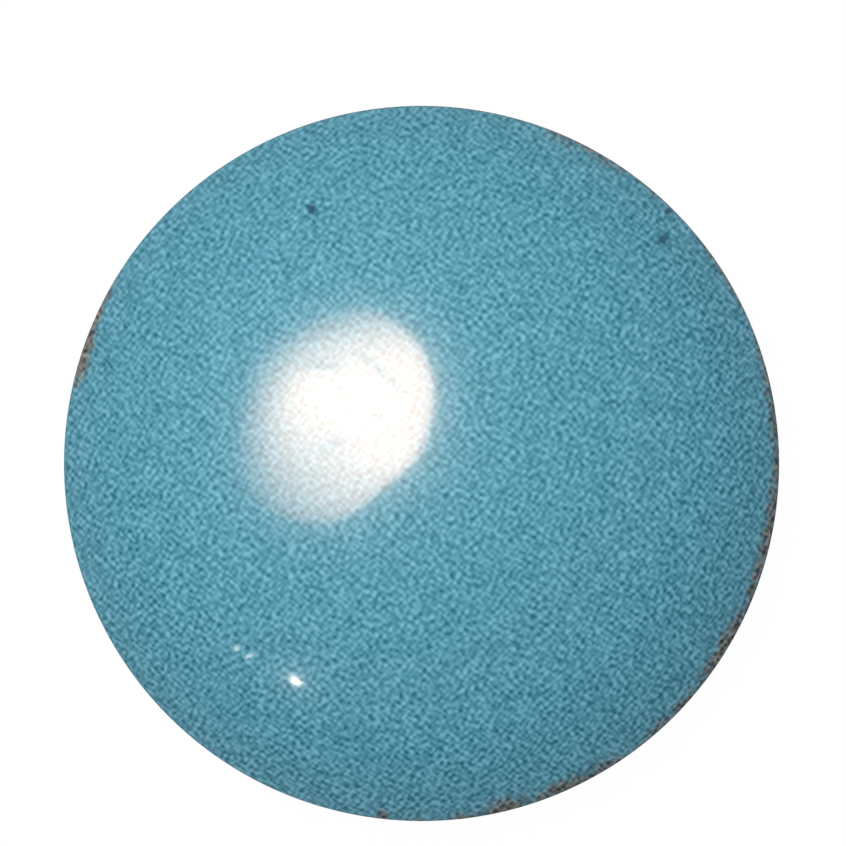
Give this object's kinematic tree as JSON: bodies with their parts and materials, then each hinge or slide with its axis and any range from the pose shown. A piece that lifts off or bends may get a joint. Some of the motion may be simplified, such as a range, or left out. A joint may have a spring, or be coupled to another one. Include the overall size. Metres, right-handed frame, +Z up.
{
  "type": "round turquoise cabochon",
  "caption": "Polished blue turquoise cut as a round cabochon: a smooth dome over a low girdle wall flecked with brown host rock, and a flat back to set, glue or rest it on.",
  "frame": {"origin": "centre of the flat back", "axes": "+Z up through the top of the dome, +Y towards the top of the picture, +X to its right"},
  "size_m": [0.016, 0.016, 0.005],
  "materials": {
    "turquoise": "polished"
  },
  "bodies": {
    "root": {"turquoise_cabochon": "turquoise"}
  },
  "joints": []
}
